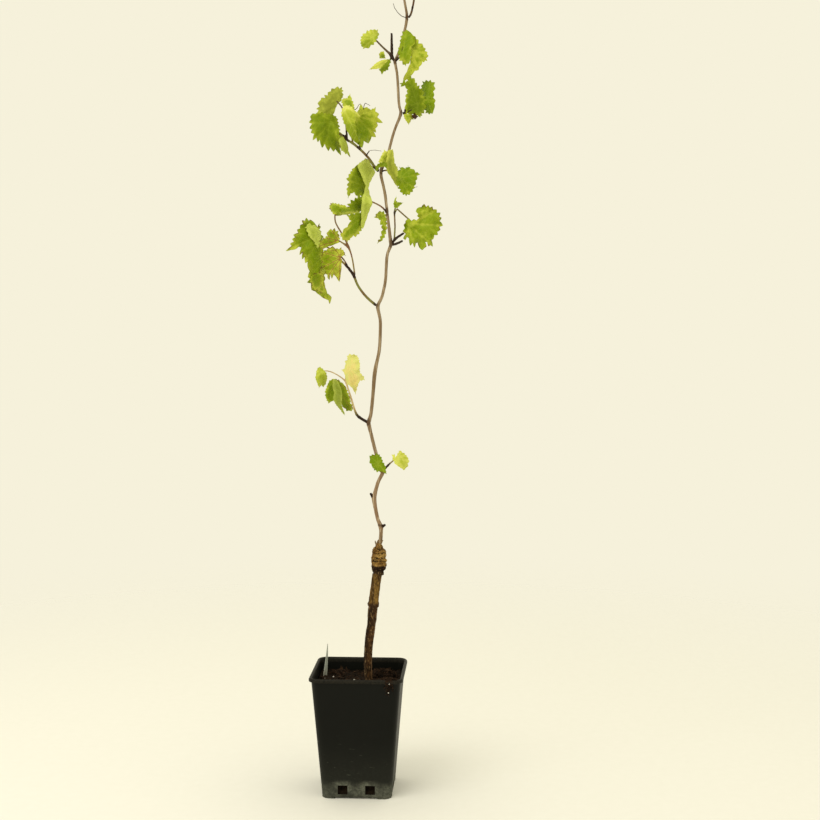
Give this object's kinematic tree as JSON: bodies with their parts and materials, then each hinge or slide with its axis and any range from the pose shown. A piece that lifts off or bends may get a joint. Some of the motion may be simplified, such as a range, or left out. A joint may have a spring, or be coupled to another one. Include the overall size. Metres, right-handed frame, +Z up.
{
  "type": "potted grapevine",
  "caption": "Young grafted grapevine with a slender zigzag cane, short side shoots and lobed toothed leaves, in a tall square black nursery pot of compost.",
  "frame": {"origin": "centre of the pot's flat underside, on the surface that the pot stands on", "axes": "+Z up along the vine, +X to the right along the pot's front face, +Y towards the pot's back"},
  "size_m": [0.257, 0.15, 1.448],
  "materials": {
    "pot_plastic": "satin",
    "compost": "matte",
    "label_plastic": "matte",
    "old_bark": "matte",
    "cane_bark": "matte",
    "shoot_bark": "matte",
    "leaf_green": "matte",
    "leaf_dark": "matte",
    "leaf_lime": "matte",
    "leaf_yellow": "matte"
  },
  "bodies": {
    "root": {"branch_l": "shoot_bark", "compost": "compost", "graft_union": "old_bark", "leaf_c_lime": "leaf_lime", "leaf_c_small": "leaf_green", "leaf_d_folded": "leaf_dark", "leaf_d_oval": "leaf_lime", "leaf_d_yellow": "leaf_yellow", "leaf_g_long": "leaf_green", "leaf_g_tan": "leaf_yellow", "leaf_g_upper": "leaf_dark", "leaf_h_back": "leaf_dark", "leaf_h_right": "leaf_green", "leaf_h_sprout": "leaf_lime", "leaf_i_dark": "leaf_dark", "leaf_i_lime": "leaf_lime", "leaf_i_right": "leaf_green", "leaf_i_tail": "leaf_lime", "leaf_i_tip": "leaf_lime", "leaf_j_dark": "leaf_dark", "leaf_j_low": "leaf_lime", "leaf_j_right": "leaf_green", "leaf_k_bud": "leaf_green", "leaf_k_front": "leaf_lime", "leaf_k_low": "leaf_green", "leaf_k_right": "leaf_green", "leaf_k_tip": "leaf_lime", "leaf_l_tip": "leaf_green", "leaf_m_back": "leaf_dark", "leaf_m_hanging": "leaf_green", "leaf_m_left": "leaf_green", "leaf_n_left": "leaf_lime", "leaf_n_rolled": "leaf_green", "leaf_p_round": "leaf_green", "leaf_tip": "leaf_lime", "main_cane_lower": "cane_bark", "main_cane_middle": "cane_bark", "main_cane_top": "cane_bark", "main_cane_upper": "cane_bark", "plant_label": "label_plastic", "pot": "pot_plastic", "rootstock_trunk": "old_bark", "shoot_d": "shoot_bark", "shoot_g": "shoot_bark", "shoot_h": "shoot_bark", "shoot_i": "shoot_bark", "shoot_k": "shoot_bark", "spur_j": "shoot_bark", "stalk_g_long": "shoot_bark", "stalk_g_upper": "shoot_bark", "stalk_k_right": "shoot_bark", "stalk_m": "shoot_bark", "stalk_m_back": "shoot_bark", "stalk_m_left": "shoot_bark", "stalk_n": "shoot_bark", "stalk_p": "shoot_bark", "twig_c": "shoot_bark"}
  },
  "joints": []
}
